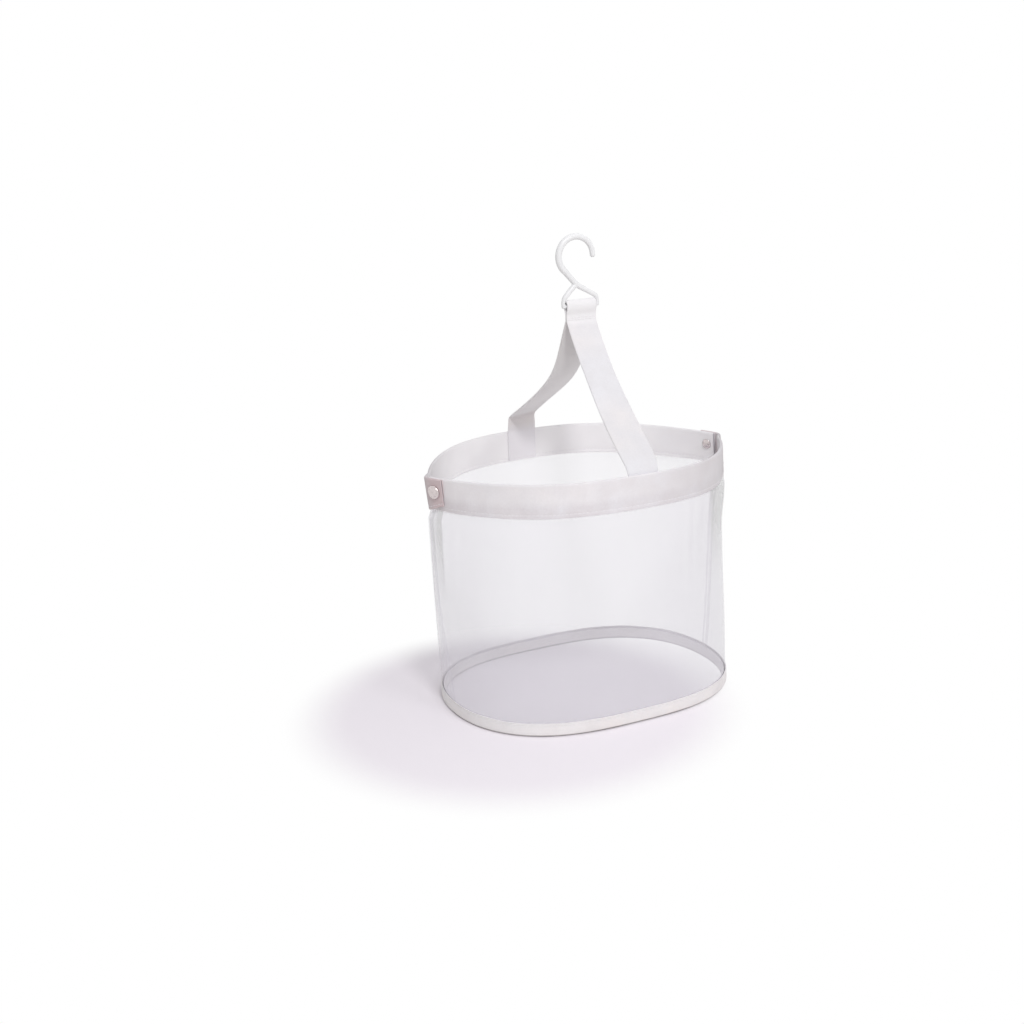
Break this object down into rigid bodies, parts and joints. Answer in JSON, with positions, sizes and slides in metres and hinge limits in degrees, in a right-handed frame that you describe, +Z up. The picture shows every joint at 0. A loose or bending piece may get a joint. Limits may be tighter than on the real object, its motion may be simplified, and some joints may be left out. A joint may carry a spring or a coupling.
{
  "type": "peg bag",
  "caption": "Oval self-standing bag of hazy clear film with a riveted webbing rim, a bound foot, a webbing strap handle and a plastic hook that hangs it from a line.",
  "frame": {"origin": "centre of the foot, on the surface that the bag stands on", "axes": "+X from the left rivet to the right rivet, -Y towards the front, +Z up"},
  "size_m": [0.2608, 0.1874, 0.361],
  "materials": {
    "film": "hazy see-through film, soft gloss",
    "binding": "white woven binding tape",
    "rim_webbing": "pale grey ribbed webbing",
    "strap_webbing": "off-white woven strap",
    "spring_steel": "plain spring strip, hidden in the rim",
    "rivet_nickel": "bright nickel plate",
    "hook_plastic": "white moulded plastic"
  },
  "bodies": {
    "bag": {"floor_panel": "film", "foot_binding": "binding", "front_wall": "film", "back_wall": "film", "left_seam_tape": "film", "right_seam_tape": "film", "front_rim_band": "rim_webbing", "back_rim_band": "rim_webbing", "front_spring_strip": "spring_steel", "back_spring_strip": "spring_steel", "front_strap_end": "strap_webbing", "back_strap_end": "strap_webbing", "left_rivet": "rivet_nickel", "right_rivet": "rivet_nickel", "left_rivet_cap": "rivet_nickel", "right_rivet_cap": "rivet_nickel"},
    "handle": {"handle_strap": "strap_webbing"},
    "hook": {"hook": "hook_plastic"}
  },
  "joints": [
    {"name": "handle_tilt", "type": "hinge", "parent": "bag", "child": "handle", "pos_m": [0, 0, 0.1975], "axis": [0, 1, 0], "range_deg": [-75, 75], "stiffness_Nm_per_rad": 0.05},
    {"name": "hook_swing", "type": "hinge", "parent": "handle", "child": "hook", "pos_m": [0, -0.0086, 0.3075], "axis": [1, 0, 0], "range_deg": [-110, 110]}
  ]
}
